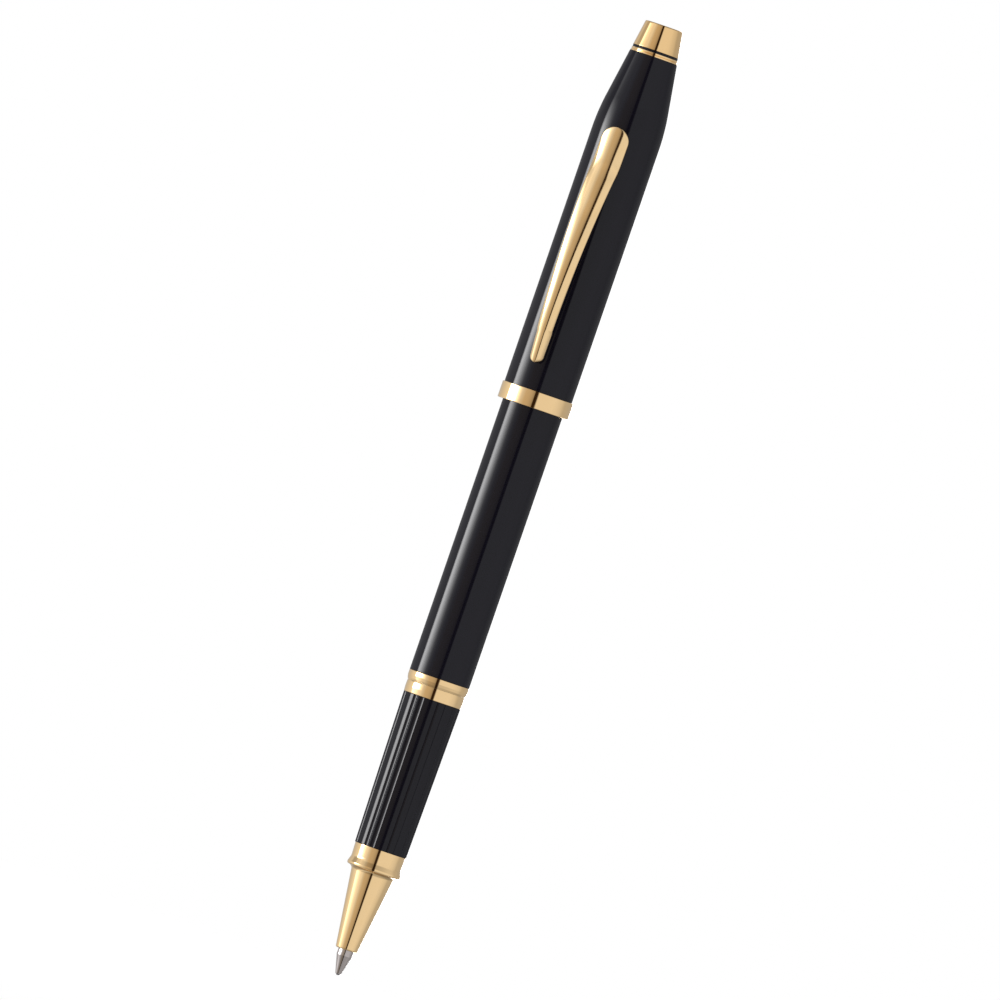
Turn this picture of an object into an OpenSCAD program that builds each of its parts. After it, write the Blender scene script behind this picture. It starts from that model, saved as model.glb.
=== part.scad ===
// Capped rollerball pen, standing on its writing point with the cap posted on the rear of the barrel.
// Frame: Z runs up the pen's axis from the writing point, the pocket clip faces -Y. Millimetres.

/* [Refill that the pen is built round] */
// Ink tube
refill_d = 5.9; // [4.8:0.05:7.2]
// Ink tube wall
refill_wall = 0.6; // [0.3:0.05:0.8]
// Whole refill
refill_len = 112.8; // [90:0.1:140]
// Steel point
point_d = 2.36; // [1.9:0.02:2.9]
// Writing ball
ball_d = 0.7; // [0.5:0.1:1]

/* [Lengths along the pen] */
// Steel point that shows below the nose cone
tip_len = 4.0; // [3.2:0.1:6]
// Nose cone, from its front edge to the grip
nose_len = 15.8; // [12:0.1:20]
// Fluted grip
grip_len = 23.7; // [18:0.1:32]
// Lower half of the trim, fixed to the section
section_ring_len = 1.85; // [1:0.05:3]
// Upper half of the trim, fixed to the barrel
barrel_ring_len = 1.5; // [1:0.05:3]
// Room for the spring behind the refill
spring_room = 6.1; // [5:0.1:9]
// Room above the inner cap for the nut
head_room = 4.15; // [3:0.05:8]
// Gold lip ring of the cap
lip_len = 2.55; // [1.5:0.05:4]
// Distance from the crown's flat down to where the cap starts to narrow
shoulder_drop = 17.8; // [15:0.1:22]
// Crown, from its base to its flat
crown_len = 4.0; // [3:0.1:6]

/* [Section thread and spring] */
// Thread length
thread_len = 6.5; // [4:0.1:9]
// Spring wire
spring_wire_d = 0.5; // [0.3:0.05:0.7]
// Turns of the refill spring
spring_turns = 5; // [3:1:8]

/* [Clip] */
// Clip length
clip_len = 37.2; // [30:0.1:42]
// Height of the clip's top above the start of the cap's shoulder
clip_top_rise = 1.15; // [0.5:0.05:1.5]
// Width of the clip's head
clip_head_w = 4.4; // [3:0.1:5]
// Width of the clip just above its free end
clip_end_w = 2.1; // [1.6:0.1:3]
// Height of the clip's ridge above the cap at its highest
clip_rise = 3.42; // [2:0.02:4]
// Radius of the clip's bow, seen from the side
clip_bow_r = 75; // [50:1:120]
// Radius of the clip's rounded top, seen along the pen
clip_top_r = 3.1; // [2.4:0.05:4]
// Thickness of the clip at its ridge
clip_t = 1.0; // [0.7:0.05:1.4]

/* [Fits] */
// Gap all round between pieces that turn or slide on each other
run_gap = 0.06; // [0.02:0.01:0.1]
// Gap between end faces that stop against each other
seat_gap = 0.02; // [0.01:0.01:0.1]
// Gap round the clip's tang in its slot
slot_gap = 0.2; // [0.1:0.05:0.4]
// Gap between the barrel and the cap's bore
cap_gap = 0.195; // [0.15:0.005:0.4]
// Gap between the inner cap and the cap's bore
liner_gap = 0.05; // [0.02:0.01:0.1]

/* [Walls and steps] */
// Sleeve inside the grip
sleeve_wall = 0.49; // [0.3:0.01:0.9]
// Sleeve where the thread is cut, out to the crest
thread_wall = 0.79; // [0.7:0.01:1.2]
// Threaded bush in the barrel
bush_wall = 0.39; // [0.3:0.01:0.8]
// Barrel tube
barrel_wall = 0.455; // [0.35:0.005:0.8]
// Grip at its front edge
grip_wall = 0.545; // [0.45:0.005:1]
// Grip's rear edge inside the barrel's surface
grip_step = 0.24; // [0.1:0.01:0.5]
// Tail inside the barrel's surface
tail_step = 0.555; // [0.4:0.005:0.8]
// Nose cone round the steel point
nose_lip = 0.44; // [0.4:0.01:0.8]
// Bead outside the rear of the nose cone
bead_height = 0.885; // [0.6:0.005:1.1]
// Cap tube
cap_wall = 0.435; // [0.35:0.005:0.8]
// Lip ring outside the cap tube
lip_wall = 0.24; // [0.15:0.01:0.5]
// Inner cap
liner_wall = 0.7; // [0.5:0.05:0.8]
// Spring plate behind the clip
plate_t = 0.4; // [0.3:0.05:0.5]
// Crown's base inside the cap's end
crown_inset = 0.163; // [0.1:0.001:0.5]
// Crown's taper, from its base to its flat
crown_taper = 0.64; // [0.3:0.01:1]

/* [Hidden] */

turn_fn = 96;
eps = 0.01;
gold = [0.87, 0.72, 0.47];
black = [0.08, 0.08, 0.09];
steel = [0.72, 0.72, 0.73];
brass = [0.78, 0.66, 0.36];
plastic = [0.16, 0.16, 0.18];
ink_blue = [0.06, 0.08, 0.28];
grease = [0.86, 0.84, 0.72];

// Stations along the axis, from the writing point up. The cap is as long as what it covers when the
// pen is capped, and it is posted until the tail sits as deep in the inner cap's mouth as it should.
tail_wall = 2.1;
collar_len = 2.55;
bead_len = 0.95;
bead_catch = 0.7;
tail_catch = 2.5;
tip_clear = 1.65;
liner_end = 1.4;
cap_end_wall = 1.4;
crown_ring_len = 0.6;
crown_gap_len = 0.35;
nose_z = tip_len;
grip_z = nose_z + nose_len;
trim_z = grip_z + grip_len;
joint_z = trim_z + section_ring_len;
barrel_z = joint_z + barrel_ring_len;
collar_z = grip_z - collar_len;
bead_z = collar_z - bead_len;
end_z = refill_len + spring_room + tail_wall;
liner_z = end_z - tail_catch;
lip_z = liner_z - (barrel_z - collar_z - bead_catch);
liner_top = lip_z + barrel_z + tip_clear + liner_end;
cap_floor = liner_top + head_room;
crown_ring_z = cap_floor + cap_end_wall;
crown_z = crown_ring_z + crown_ring_len + crown_gap_len;
top_z = crown_z + crown_len;
shoulder_z = top_z - shoulder_drop;

// Radii from the refill outwards
tube_r = refill_d / 2;
tube_in_r = tube_r - refill_wall;
sleeve_in_r = tube_r + run_gap;
thread_r = sleeve_in_r + thread_wall;
bush_in_r = thread_r + run_gap;
barrel_in_r = bush_in_r + bush_wall;
barrel_r = barrel_in_r + barrel_wall;
grip_in_r = sleeve_in_r + sleeve_wall;
grip_front_r = grip_in_r + grip_wall;
grip_rear_r = barrel_r - grip_step;
bead_bite = 0.035;
tail_r = barrel_r - tail_step;
bead_r = tail_r + bead_bite;
point_r = point_d / 2;
point_hole_r = point_r + run_gap;

// Barrel
posted_relief = 0.02;
posted_taper_len = 1;
ring_flare = 0.03;
ring_top_drop = 0.03;
ring_waist = 0.19;
tail_len = 3.5;
tail_edge = 0.5;
tail_z = end_z - tail_len;
bush_len = 8.6;
bush_set = 0.15;

// Section
thread_chamfer = 0.4;
collar_step = 0.105;
collar_r = grip_front_r - collar_step;
bead_flat = 0.3;
nose_edge = 0.3;
nose_front_r = point_hole_r + nose_lip;
nose_rear_r = bead_r - bead_height;
spigot_len = 5;
groove_pairs = 8;
groove_pair_angle = 14.2;
groove_phase = -11.25;
groove_r = 0.7;
groove_depth = 0.105;

// Refill
refill_end = refill_len;
seat_depth = 5.5;
seat_z = nose_z + seat_depth;
throat_wall = 0.82;
throat_r = point_r + throat_wall;
throat_len = 7.5;
throat_z = seat_z + throat_len;
refill_nose_r = throat_r - run_gap;
step_gap = 0.15;
refill_step_z = throat_z + step_gap;
refill_step_len = 2.4;
refill_tube_z = refill_step_z + refill_step_len;
nose_spigot_len = 4.5;
point_front_r = 0.42;
point_front_z = 0.2;
point_cone_z = 3;
shank_len = 4.5;
point_top = seat_z + shank_len;
point_bore_r = 0.5;
point_bore_z = 1.6;
ball_r = ball_d / 2;
ball_gap = 0.02;
ball_feed_r = 0.2;
feed_r = 0.6;
ink_room = 16.8;
ink_top = refill_len - ink_room;
follower_len = 5;
vent_r = 0.5;
plug_len = 4.5;
plug_flange = 0.8;
plug_z = refill_end - plug_flange;

// Spring and its pocket in the barrel tail
pocket_play = 0.11;
pocket_r = tube_r + pocket_play;
pocket_overlap = 2;
pocket_floor = end_z - tail_wall;
tail_spigot_z = refill_end - pocket_overlap;
spring_inset = 0.1;
spring_r = tube_r - spring_wire_d / 2 - spring_inset;
spring_z0 = refill_end + seat_gap + spring_wire_d / 2;
spring_z1 = pocket_floor - seat_gap - spring_wire_d / 2;
spring_steps = 16;
spring_sides = 6;

// Cap
cap_in_r = barrel_r + cap_gap;
cap_r = cap_in_r + cap_wall;
lip_r = cap_r + lip_wall;
lip_floor = 0.4;
lip_inset = 0.05;
lip_in_r = cap_in_r - lip_inset;
lip_chamfer = 0.12;
shoulder_angle = 9.04;
shoulder_r = 34.4;
shoulder_steps = 16;
shoulder_end_z = shoulder_z + shoulder_r * sin(shoulder_angle);
shoulder_end_r = cap_r - shoulder_r * (1 - cos(shoulder_angle));
cap_top_r = shoulder_end_r - (crown_ring_z - shoulder_end_z) * tan(shoulder_angle);
cap_floor_r = shoulder_end_r - (cap_floor - shoulder_end_z) * tan(shoulder_angle) - cap_wall;
crown_ring_inset = 0.03;
crown_spacer_inset = 0.17;
crown_edge = 0.25;
crown_base_r = cap_top_r - crown_inset;
crown_top_r = crown_base_r - crown_taper;

// Inner cap
liner_grip_r = tail_r + run_gap;
liner_band_r = cap_in_r - liner_gap;
liner_stop_gap = 0.3;
liner_stop_z = end_z + liner_stop_gap;
liner_band_len = 5.5;
liner_band_z = liner_z + liner_band_len;
liner_step = 0.75;
liner_bore_r = liner_grip_r - liner_step;
liner_top_step = 0.11;
liner_out_r = liner_bore_r + liner_wall;
liner_top_r = liner_bore_r - liner_top_step;
liner_cone_drop = 0.6;
liner_cone_z = shoulder_z + liner_cone_drop;
mouth_chamfer = 0.3;

// Crown stud and nut
stud_r = 1.25;
stud_len = 8;
stud_depth = 2.4;
stud_z = crown_z + stud_depth - stud_len;
stud_hole_gap = 0.1;
stud_hole_r = stud_r + stud_hole_gap;
nut_r = 2.5;
nut_len = 2;
nut_sides = 6;

// Clip
clip_top = shoulder_z + clip_top_rise;
clip_z = clip_top - clip_len;
clip_apex_len = 11.85;
clip_apex_z = clip_z + clip_apex_len;
clip_ridge = cap_r + clip_rise;
clip_axis_y = clip_bow_r - clip_ridge;
clip_sweep = 44;
clip_fn = 360;
head_corner_r = 2.15;
head_len = 7.6;
head_z = clip_top - head_len;
clip_neck_taper = 0.14;
clip_neck_w = clip_head_w - clip_neck_taper;
clip_end_r = clip_end_w / 2;
foot_depth = 5;
foot_start = 0.1;
foot_z = head_z + foot_start;
toe_depth = 0.65;
toe_len = 5.15;
pad_r = 3.5;
pad_low = 0.93;
pad_high = 0.4;
pad_len = 6;
pad_angle = atan((pad_low - pad_high) / pad_len);
tang_w = 1.6;
tang_len = 2.6;
tang_drop = 4.6;
tang_z = clip_top - tang_drop;
tang_in = 0.55;
plate_half_angle = 32;
plate_drop = 7.6;
plate_z = clip_top - plate_drop;
plate_len = 6.1;

// A solid of revolution from [radius, height] points
module turned(points) {
    rotate_extrude($fn = turn_fn) polygon(points);
}

// A plain tube between two heights
module tube(outer, inner, z0, z1) {
    turned([[inner, z0], [outer, z0], [outer, z1], [inner, z1]]);
}

// Outside of the cap below the crown, grown by g: straight wall, round shoulder, cone
function cap_outline(g) = concat(
    [[cap_r + g, lip_z + lip_floor]],
    [for (i = [0:shoulder_steps]) let (a = shoulder_angle * i / shoulder_steps)
        [cap_r + g - shoulder_r * (1 - cos(a)), shoulder_z + shoulder_r * sin(a)]],
    [[cap_top_r + g, crown_ring_z]]);

// Points round one ring of the spring's wire
function wire_ring(i) = let (
    a = 360 * i / spring_steps,
    z = spring_z0 + (spring_z1 - spring_z0) * i / (spring_steps * spring_turns))
    [for (k = [0:spring_sides - 1]) let (b = 360 * k / spring_sides, w = spring_wire_d / 2)
        [(spring_r + w * cos(b)) * cos(a), (spring_r + w * cos(b)) * sin(a), z + w * sin(b)]];

// Barrel: plain where it shows, then a touch slimmer where the posted cap slides over it
module barrel_tube() {
    color(black) turned([
        [barrel_in_r, barrel_z], [barrel_r, barrel_z], [barrel_r, lip_z],
        [barrel_r - posted_relief, lip_z + posted_taper_len],
        [barrel_r - posted_relief, tail_z - posted_relief],
        [barrel_r - 2 * posted_relief, tail_z], [barrel_in_r, tail_z]]);
}

// Gold ring at the mouth of the barrel: flares from the joint line to a crest, then steps in a little
module barrel_ring() {
    color(gold) turned([
        [barrel_in_r, joint_z], [barrel_r - ring_waist, joint_z],
        [barrel_r - ring_waist + ring_flare, joint_z + ring_flare],
        [barrel_r + ring_flare, joint_z + barrel_ring_len / 2],
        [barrel_r - ring_top_drop, barrel_z], [barrel_in_r, barrel_z]]);
}

// Threaded bush pressed into the ring and the tube
module barrel_bush() {
    color(brass) turned([
        [bush_in_r + thread_chamfer / 2, joint_z + bush_set], [barrel_in_r, joint_z + bush_set],
        [barrel_in_r, joint_z + bush_set + bush_len], [bush_in_r, joint_z + bush_set + bush_len],
        [bush_in_r, joint_z + bush_set + thread_chamfer]]);
}

// Tail plug: pressed into the tube, with the spring's pocket inside and the posting tail outside
module barrel_tail() {
    color(black) turned([
        [0, pocket_floor], [pocket_r, pocket_floor], [pocket_r, tail_spigot_z],
        [barrel_in_r, tail_spigot_z], [barrel_in_r, tail_z], [tail_r, tail_z],
        [tail_r, end_z - tail_edge], [tail_r - tail_edge, end_z], [0, end_z]]);
}

module refill_spring() {
    n = spring_steps * spring_turns;
    rings = [for (i = [0:n]) wire_ring(i)];
    points = [for (r = rings) for (p = r) p];
    sides = [for (i = [0:n - 1]) for (k = [0:spring_sides - 1]) let (
        a = i * spring_sides + k, b = i * spring_sides + (k + 1) % spring_sides)
        [a, b, b + spring_sides, a + spring_sides]];
    first = [for (k = [spring_sides - 1:-1:0]) k];
    last = [for (k = [0:spring_sides - 1]) n * spring_sides + k];
    color(steel) polyhedron(points, concat(sides, [first], [last]));
}

module refill_tube() {
    color(plastic) tube(tube_r, tube_in_r, refill_tube_z, plug_z);
}

// Stepped plastic nose that carries the point and fits the tube
module refill_nose() {
    color(plastic) turned([
        [point_r, seat_z + seat_gap], [refill_nose_r, seat_z + seat_gap],
        [refill_nose_r, refill_step_z], [tube_r, refill_step_z], [tube_r, refill_tube_z],
        [tube_in_r, refill_tube_z], [tube_in_r, refill_tube_z + nose_spigot_len],
        [feed_r, refill_tube_z + nose_spigot_len], [feed_r, point_top], [point_r, point_top]]);
}

// Steel point: cone rolled in over the ball, shank pressed into the nose, feed drilled through
module refill_point() {
    color(steel) difference() {
        turned([
            [0, point_front_z], [point_front_r, point_front_z],
            [point_r - seat_gap, point_cone_z], [point_r, point_cone_z + seat_gap],
            [point_r, point_top], [0, point_top]]);
        translate([0, 0, ball_r]) sphere(r = ball_r + ball_gap, $fn = turn_fn);
        cylinder(r = ball_feed_r, h = point_bore_z, $fn = turn_fn);
        translate([0, 0, point_bore_z - eps])
            cylinder(r = point_bore_r, h = point_top - point_bore_z + 2 * eps, $fn = turn_fn);
    }
}

module refill_ball() {
    color(steel) translate([0, 0, ball_r]) sphere(r = ball_r, $fn = turn_fn);
}

module refill_ink() {
    z0 = refill_tube_z + nose_spigot_len + seat_gap;
    color(ink_blue) translate([0, 0, z0])
        cylinder(r = tube_in_r - seat_gap, h = ink_top - z0, $fn = turn_fn);
}

module refill_follower() {
    color(grease) translate([0, 0, ink_top + seat_gap])
        cylinder(r = tube_in_r - seat_gap, h = follower_len, $fn = turn_fn);
}

// Vented end plug of the refill; the spring presses on its flange
module refill_plug() {
    color(plastic) turned([
        [vent_r, plug_z - plug_len], [tube_in_r, plug_z - plug_len], [tube_in_r, plug_z],
        [tube_r, plug_z], [tube_r, refill_end], [vent_r, refill_end]]);
}

// Turned nose: cone, bead for the inner cap, collar, and a spigot up inside the grip
module nose_cone() {
    color(gold) turned([
        [point_hole_r, nose_z], [nose_front_r - nose_edge, nose_z],
        [nose_front_r, nose_z + nose_edge],
        [nose_rear_r, bead_z - nose_edge], [nose_rear_r + nose_edge / 2, bead_z],
        [bead_r - nose_edge, bead_z + nose_edge / 2],
        [bead_r, bead_z + bead_len / 2 - bead_flat / 2],
        [bead_r, bead_z + bead_len / 2 + bead_flat / 2],
        [collar_r + nose_edge / 4, collar_z], [collar_r, collar_z + nose_edge / 4],
        [collar_r, grip_z], [grip_in_r, grip_z], [grip_in_r, grip_z + spigot_len],
        [sleeve_in_r, grip_z + spigot_len], [sleeve_in_r, throat_z],
        [throat_r, throat_z], [throat_r, seat_z], [point_hole_r, seat_z]]);
}

// Grip: tapered tube with shallow lengthwise grooves in pairs
module grip() {
    color(black) difference() {
        turned([
            [grip_in_r, grip_z], [grip_front_r, grip_z],
            [grip_rear_r, trim_z], [grip_in_r, trim_z]]);
        for (i = [0:groove_pairs - 1], s = [-1, 1])
            rotate([0, 0, -90 + groove_phase + i * 360 / groove_pairs + s * groove_pair_angle / 2])
                translate([grip_front_r + groove_r - groove_depth, 0, grip_z])
                rotate([0, atan((grip_rear_r - grip_front_r) / grip_len), 0])
                translate([0, 0, -1])
                cylinder(r = groove_r, h = grip_len + 2, $fn = 24);
    }
}

// Brass sleeve: runs through the grip above the nose spigot and carries the thread
module section_sleeve() {
    z0 = grip_z + spigot_len;
    z1 = joint_z + bush_set + thread_len;
    color(brass) turned([
        [sleeve_in_r, z0], [grip_in_r, z0], [grip_in_r, trim_z], [thread_r, trim_z],
        [thread_r, z1 - thread_chamfer], [thread_r - thread_chamfer, z1], [sleeve_in_r, z1]]);
}

module section_ring() {
    color(gold) turned([
        [thread_r, trim_z], [barrel_r - ring_waist, trim_z],
        [barrel_r - ring_waist + ring_flare, trim_z + section_ring_len / 2],
        [barrel_r - ring_waist, joint_z - seat_gap], [thread_r, joint_z - seat_gap]]);
}

// Inner cap: its mouth grips the tail or the nose bead, its closed end keeps the point from drying
module inner_cap() {
    color(plastic) turned([
        [liner_grip_r + mouth_chamfer, liner_z], [liner_band_r, liner_z],
        [liner_band_r, liner_band_z], [liner_out_r, liner_band_z],
        [liner_out_r, liner_cone_z], [liner_top_r, liner_top], [0, liner_top],
        [0, liner_top - liner_end], [liner_top_r - liner_wall - mouth_chamfer, liner_top - liner_end],
        [liner_bore_r, liner_cone_z], [liner_bore_r, liner_stop_z], [liner_grip_r, liner_stop_z],
        [liner_grip_r, liner_z + mouth_chamfer]]);
}

module cap_tube() {
    inside = [
        [stud_hole_r, crown_ring_z], [stud_hole_r, cap_floor], [cap_floor_r, cap_floor],
        [shoulder_end_r - cap_wall, shoulder_end_z], [cap_in_r, shoulder_z], [cap_in_r, lip_z + lip_floor]];
    color(black) difference() {
        turned(concat(cap_outline(0), inside));
        tang_slot();
    }
}

// Lip ring: pressed over the end of the cap tube, with a floor that covers the tube's edge
module lip_ring() {
    color(gold) turned([
        [lip_in_r, lip_z], [lip_r - lip_chamfer, lip_z], [lip_r, lip_z + lip_chamfer],
        [lip_r, lip_z + lip_len - lip_chamfer], [lip_r - lip_chamfer, lip_z + lip_len],
        [cap_r, lip_z + lip_len], [cap_r, lip_z + lip_floor], [lip_in_r, lip_z + lip_floor]]);
}

// Hole for the clip's tang through the cap tube and the spring plate
module tang_slot() {
    translate([-tang_w / 2 - slot_gap, -cap_r - 1, tang_z - slot_gap])
        cube([tang_w + 2 * slot_gap, cap_r - liner_out_r + 1, tang_len + 2 * slot_gap]);
}

// A slice of the clip's bow: radii r0 to r1, half as wide as w, under the rounded top if round_top
module clip_bow(r0, r1, w, round_top) {
    translate([0, clip_axis_y, clip_apex_z]) rotate([0, 90, 0])
        rotate([0, 0, -90 - clip_sweep / 2])
        rotate_extrude(angle = clip_sweep, $fn = clip_fn)
        intersection() {
            translate([r0, -w]) square([r1 - r0, 2 * w]);
            if (round_top)
                translate([clip_bow_r - clip_top_r, 0]) circle(r = clip_top_r, $fn = turn_fn);
        }
}

// The clip seen from the front: round-cornered head, long taper, round end
module clip_outline() {
    corner_x = clip_head_w / 2 - head_corner_r;
    end_z = clip_z + clip_end_r;
    rotate([90, 0, 0]) linear_extrude(height = clip_ridge + 1) {
        for (s = [-1, 1])
            translate([s * corner_x, clip_top - head_corner_r])
                circle(r = head_corner_r, $fn = turn_fn);
        translate([-corner_x, clip_top - head_corner_r])
            square([2 * corner_x, head_corner_r]);
        polygon([
            [-clip_head_w / 2, clip_top - head_corner_r], [-clip_head_w / 2, head_z + 1],
            [-clip_neck_w / 2, head_z], [-clip_end_r, end_z], [clip_end_r, end_z],
            [clip_neck_w / 2, head_z], [clip_head_w / 2, head_z + 1],
            [clip_head_w / 2, clip_top - head_corner_r]]);
        translate([0, end_z]) circle(r = clip_end_r, $fn = turn_fn);
    }
}

// Between two heights, wide enough for the whole clip
module clip_band(z0, z1) {
    translate([-clip_head_w, -clip_ridge - 1, z0]) cube([2 * clip_head_w, clip_ridge + 1, z1 - z0]);
}

// Straight half-round pad under the head, lying on the cap and meeting the bow further down
module clip_pad() {
    translate([0, -cap_r - pad_high + pad_r, clip_top + pad_high])
        rotate([180 - pad_angle, 0, 0])
        cylinder(r = pad_r, h = head_len + 1, $fn = turn_fn);
}

module clip() {
    color(gold) {
        difference() {
            intersection() {
                clip_outline();
                union() {
                    clip_bow(clip_bow_r - clip_t, clip_bow_r, clip_head_w, true);
                    intersection() {
                        clip_band(clip_z, clip_z + toe_len);
                        clip_bow(clip_bow_r - clip_t - toe_depth, clip_bow_r - clip_t + eps,
                                 clip_head_w, false);
                    }
                    intersection() {
                        clip_band(foot_z, clip_top);
                        union() {
                            clip_bow(clip_bow_r - clip_t - foot_depth, clip_bow_r - clip_t + eps,
                                     clip_head_w, false);
                            clip_pad();
                        }
                    }
                }
            }
            turned(concat([[0, lip_z + lip_floor]], cap_outline(seat_gap), [[0, crown_ring_z]]));
        }
        translate([-tang_w / 2, -cap_r - pad_high, tang_z])
            cube([tang_w, cap_r + pad_high - liner_out_r - tang_in / 2, tang_len]);
    }
}

// Spring plate: curved leaf behind the cap wall that the tang hooks through
module clip_plate() {
    color(brass) difference() {
        rotate([0, 0, -90 - plate_half_angle]) rotate_extrude(angle = 2 * plate_half_angle, $fn = turn_fn)
            translate([cap_in_r - plate_t, plate_z]) square([plate_t, plate_len]);
        tang_slot();
    }
}

module crown() {
    color(gold) turned([
        [stud_r, crown_z], [crown_base_r, crown_z],
        [crown_top_r, top_z - crown_edge], [crown_top_r - crown_edge, top_z],
        [0, top_z], [0, stud_z + stud_len], [stud_r, stud_z + stud_len]]);
}

module crown_spacer() {
    r = cap_top_r - crown_spacer_inset;
    color(black) tube(r, stud_r, crown_z - crown_gap_len, crown_z);
}

module crown_ring() {
    color(gold) turned([
        [stud_r, crown_ring_z], [cap_top_r - crown_ring_inset, crown_ring_z],
        [cap_top_r - crown_ring_inset - crown_ring_len * tan(shoulder_angle), crown_z - crown_gap_len],
        [stud_r, crown_z - crown_gap_len]]);
}

module crown_stud() {
    color(steel) translate([0, 0, stud_z]) cylinder(r = stud_r, h = stud_len, $fn = turn_fn);
}

module crown_nut() {
    color(brass) difference() {
        translate([0, 0, cap_floor - nut_len]) cylinder(r = nut_r, h = nut_len, $fn = nut_sides);
        translate([0, 0, stud_z]) cylinder(r = stud_r, h = stud_len, $fn = turn_fn);
    }
}

barrel_tube();
barrel_ring();
barrel_bush();
barrel_tail();
refill_spring();
refill_tube();
refill_nose();
refill_point();
refill_ball();
refill_ink();
refill_follower();
refill_plug();
nose_cone();
grip();
section_sleeve();
section_ring();
inner_cap();
cap_tube();
lip_ring();
clip();
clip_plate();
crown();
crown_spacer();
crown_ring();
crown_stud();
crown_nut();
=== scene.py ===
"""Capped rollerball pen in black lacquer and gold plate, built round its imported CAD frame.

The pen stands on its point, +Z up its axis, with the cap posted and the clip towards -Y.
Sections run in the order the pen is put together. Lengths are in millimetres inside a
section and become metres as a mesh is made.
"""
import math

import bmesh
import bpy
from mathutils import Matrix, Vector


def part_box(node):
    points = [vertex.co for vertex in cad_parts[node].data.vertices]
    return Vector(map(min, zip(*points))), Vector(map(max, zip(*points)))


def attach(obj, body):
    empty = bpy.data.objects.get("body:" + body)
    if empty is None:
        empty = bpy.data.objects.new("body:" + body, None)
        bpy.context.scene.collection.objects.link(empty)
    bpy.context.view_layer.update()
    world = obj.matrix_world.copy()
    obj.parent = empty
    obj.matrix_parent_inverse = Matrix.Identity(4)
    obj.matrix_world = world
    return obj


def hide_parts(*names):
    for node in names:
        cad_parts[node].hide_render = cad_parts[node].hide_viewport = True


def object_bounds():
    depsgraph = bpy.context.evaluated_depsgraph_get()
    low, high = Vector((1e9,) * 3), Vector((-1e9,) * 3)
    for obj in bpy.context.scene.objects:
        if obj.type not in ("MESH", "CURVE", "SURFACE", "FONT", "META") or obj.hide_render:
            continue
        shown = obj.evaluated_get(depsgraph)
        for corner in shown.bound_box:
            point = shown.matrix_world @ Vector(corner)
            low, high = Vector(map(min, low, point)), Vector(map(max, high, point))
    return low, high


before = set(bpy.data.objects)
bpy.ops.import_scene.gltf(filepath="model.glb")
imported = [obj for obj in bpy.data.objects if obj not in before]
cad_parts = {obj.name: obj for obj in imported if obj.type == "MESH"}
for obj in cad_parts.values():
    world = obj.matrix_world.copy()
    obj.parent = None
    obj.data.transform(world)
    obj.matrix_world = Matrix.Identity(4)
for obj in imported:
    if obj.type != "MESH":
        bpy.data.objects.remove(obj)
cad_low, cad_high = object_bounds()

MM = 0.001


# ---------------------------------------------------------------- barrel tube
# The barrel is a drawn brass tube with black lacquer sprayed on, cured and buffed to a gloss.
# It is a plain cylinder where it shows, and a touch slimmer where the posted cap slides over it.

def span(node):
    """Outer radius, bottom and top of a turned CAD node, in millimetres."""
    low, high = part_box(node)
    return high.x / MM, low.z / MM, high.z / MM


def soften(corners, steps=6):
    """Rounds the (radius, height, fillet) corners of an outline, with a point just outside each arc."""
    points = []
    for i, (r, z, *fillet) in enumerate(corners):
        here = Vector((r, z))
        if not fillet:
            points.append(here)
            continue
        u = (Vector(corners[i - 1][:2]) - here).normalized()
        v = (Vector(corners[(i + 1) % len(corners)][:2]) - here).normalized()
        half = u.angle(v) / 2
        run = fillet[0] / math.tan(half)
        centre = here + (u + v).normalized() * fillet[0] / math.sin(half)
        first, last = here + u * run - centre, here + v * run - centre
        turn = first.angle(last)
        points.append(here + u * run * 1.5)
        for k in range(steps + 1):
            t = k / steps
            swept = first * math.sin((1 - t) * turn) + last * math.sin(t * turn)
            points.append(centre + swept / math.sin(turn))
        points.append(here + v * run * 1.5)
    return points


def smooth(mesh, sharp_angle=35):
    """Smooth shading, with creases kept sharp."""
    mesh.shade_smooth()
    mesh.set_sharp_from_angle(angle=math.radians(sharp_angle))


def lathe(name, outline, around=256):
    """A closed solid of revolution about the pen's axis, from a closed (radius, height) outline."""
    made = bmesh.new()
    rings = []
    for r, z in outline:
        turns = 1 if r < 1e-6 else around
        angles = [2 * math.pi * k / around for k in range(turns)]
        rings.append([made.verts.new((r * math.cos(a) * MM, r * math.sin(a) * MM, z * MM)) for a in angles])
    for low, high in zip(rings, rings[1:] + rings[:1]):
        for k in range(around):
            n = (k + 1) % around
            corners = [low[k % len(low)], low[n % len(low)], high[n % len(high)], high[k % len(high)]]
            corners = list(dict.fromkeys(corners))
            if len(corners) > 2:
                made.faces.new(corners)
    bmesh.ops.recalc_face_normals(made, faces=made.faces)
    mesh = bpy.data.meshes.new(name)
    made.to_mesh(mesh)
    made.free()
    smooth(mesh)
    piece = bpy.data.objects.new(name, mesh)
    bpy.context.scene.collection.objects.link(piece)
    return piece


def add(tree, kind, inputs=None, **settings):
    """Adds a node with its settings, and its input values or links by socket name or number."""
    node = tree.nodes.new(kind)
    for key, value in settings.items():
        setattr(node, key, value)
    for key, value in (inputs or {}).items():
        if isinstance(value, bpy.types.NodeSocket):
            tree.links.new(value, node.inputs[key])
        else:
            node.inputs[key].default_value = value
    return node


def linear(code):
    """An sRGB hex colour as linear RGBA."""
    parts = [int(code[i:i + 2], 16) / 255 for i in (1, 3, 5)]
    return [p / 12.92 if p <= 0.04045 else ((p + 0.055) / 1.055) ** 2.4 for p in parts] + [1]


def new_finish(name, colour, **sockets):
    """A new Principled finish with its even values set on the shader. Returns material, tree, shader."""
    material = bpy.data.materials.new(name)
    material.use_nodes = True
    tree = material.node_tree
    shader = tree.nodes["Principled BSDF"]
    shader.inputs["Base Color"].default_value = linear(colour)
    for key, value in sockets.items():
        shader.inputs[key.replace("_", " ")].default_value = value
    return material, tree, shader


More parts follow.
